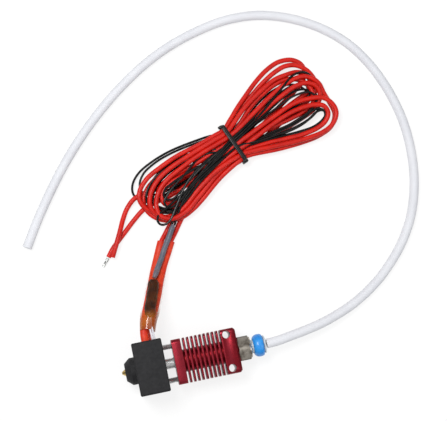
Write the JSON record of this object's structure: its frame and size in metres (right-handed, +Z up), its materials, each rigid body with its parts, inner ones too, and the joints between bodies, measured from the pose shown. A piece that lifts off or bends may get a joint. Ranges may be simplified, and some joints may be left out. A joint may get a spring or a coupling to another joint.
{
  "type": "hotend assembly",
  "caption": "Bowden hotend with a finned heatsink, a heater block in a silicone sock, a push-in tube coupler, PTFE tube and its heater and thermistor wires tied in a hank.",
  "frame": {"origin": "under the middle of the hotend, on the surface that it lies on", "axes": "+X along the filament axis from the nozzle to the tube coupler, +Y towards the side where the wires leave, +Z up from the surface that the hotend lies on"},
  "size_m": [0.1741, 0.1544, 0.0218],
  "materials": {
    "red_anodised": "satin anodised",
    "brass": "machined",
    "steel": "turned, bright",
    "bare_aluminium": "machined",
    "silicone": "matte moulded",
    "ceramic": "fired, matte",
    "glass_bead": "clear",
    "nickel": "plated",
    "black_rubber": "matte",
    "blue_plastic": "moulded",
    "pale_plastic": "moulded, translucent",
    "ptfe": "waxy, translucent",
    "red_wire": "silky insulation",
    "black_wire": "glossy insulation",
    "white_lead": "matte insulation",
    "grey_shrink": "satin heat-shrink",
    "dark_shrink": "satin heat-shrink",
    "amber_film": "glossy film",
    "tinned_copper": "tinned strands",
    "black_tie": "ribbed, satin"
  },
  "bodies": {
    "hotend": {"heatsink": "red_anodised", "nozzle": "brass", "heat_break": "steel", "heater_block": "bare_aluminium", "support_screw_left": "steel", "support_screw_right": "steel", "heater_cartridge": "steel", "heater_end_plug": "ceramic", "heater_set_screw": "steel", "thermistor_bead": "glass_bead", "coupler_body": "nickel", "coupler_o_ring": "black_rubber", "coupler_grab_ring": "steel", "coupler_guide_ring": "brass", "ptfe_tube_inside": "ptfe", "ptfe_tube": "ptfe", "heater_sleeve_a": "red_wire", "heater_sleeve_b": "red_wire", "thermistor_lead_a": "white_lead", "thermistor_lead_b": "white_lead", "thermistor_splice": "dark_shrink", "insulation_wrap": "amber_film", "thermistor_shrink_tube": "grey_shrink", "heater_wire_a_lead": "red_wire", "heater_wire_b_lead": "red_wire", "thermistor_wire_a": "black_wire", "thermistor_wire_b": "black_wire", "heater_wire_a_tail": "red_wire", "heater_wire_b_tail": "red_wire", "heater_wire_b_bare_end": "tinned_copper", "wire_hank": "red_wire", "hank_tie": "black_tie"},
    "release_collar": {"release_ring": "blue_plastic", "release_sleeve": "pale_plastic"},
    "sock": {"silicone_sock": "silicone"}
  },
  "joints": [
    {"name": "release_collar_press", "type": "slide", "parent": "hotend", "child": "release_collar", "axis": [-1, 0, 0], "range_m": [0, 0.0009], "stiffness_N_per_m": 1500},
    {"name": "sock_pull_off", "type": "slide", "parent": "hotend", "child": "sock", "axis": [-1, 0, 0], "range_m": [0, 0.019]}
  ]
}
